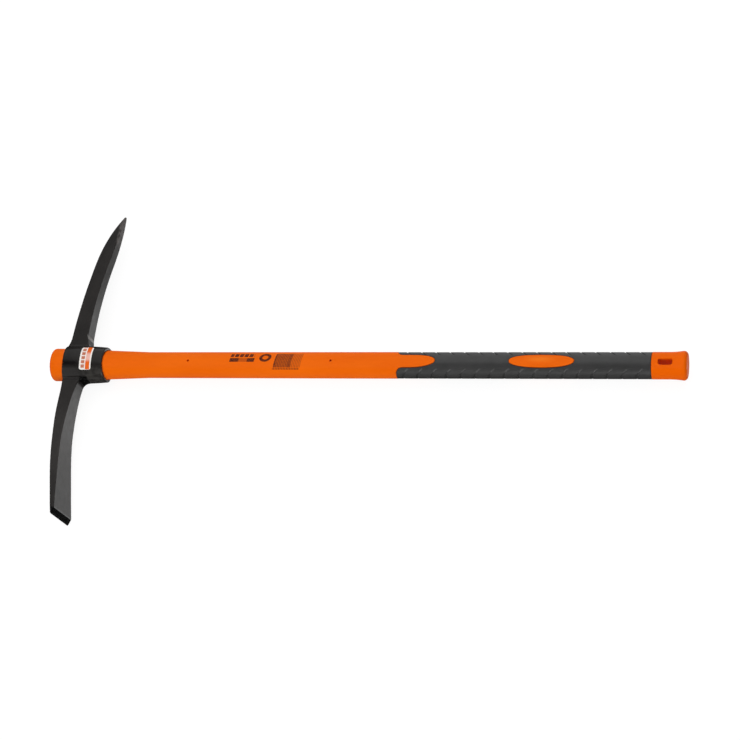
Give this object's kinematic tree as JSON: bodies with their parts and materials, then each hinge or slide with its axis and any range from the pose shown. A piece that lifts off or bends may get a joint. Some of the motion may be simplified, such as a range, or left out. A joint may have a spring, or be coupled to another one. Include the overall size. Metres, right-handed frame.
{
  "type": "pickaxe",
  "caption": "Long-handled digging pick: a forged head with a pointed arm and a chisel arm, slipped over the flared end of an oval moulded handle with a rubber grip and a slotted end cap.",
  "frame": {"origin": "centre of the flat face at the handle's head end", "axes": "+X along the handle to its butt, +Y along the pick arm, +Z through the handle's thickness; the tool lies flat"},
  "size_m": [0.9, 0.4569, 0.065],
  "materials": {
    "fibreglass": "pultruded glass fibre rod, straw coloured",
    "handle_plastic": "orange moulded plastic, satin",
    "grip_rubber": "dark grey moulded rubber, matt, with slanted grooves",
    "cap_plastic": "orange moulded plastic, satin",
    "head_steel": "black lacquer over forged steel, semi-matt",
    "label_film": "white film sticker with a plain orange field"
  },
  "bodies": {
    "handle": {"handle_core": "fibreglass", "handle_body": "handle_plastic", "grip_sleeve": "grip_rubber", "end_cap": "cap_plastic"},
    "head": {"pick_head": "head_steel", "head_label": "label_film"}
  },
  "joints": [
    {"name": "head_slide", "type": "slide", "parent": "handle", "child": "head", "axis": [1, 0, 0], "range_m": [0, 0.885]}
  ]
}
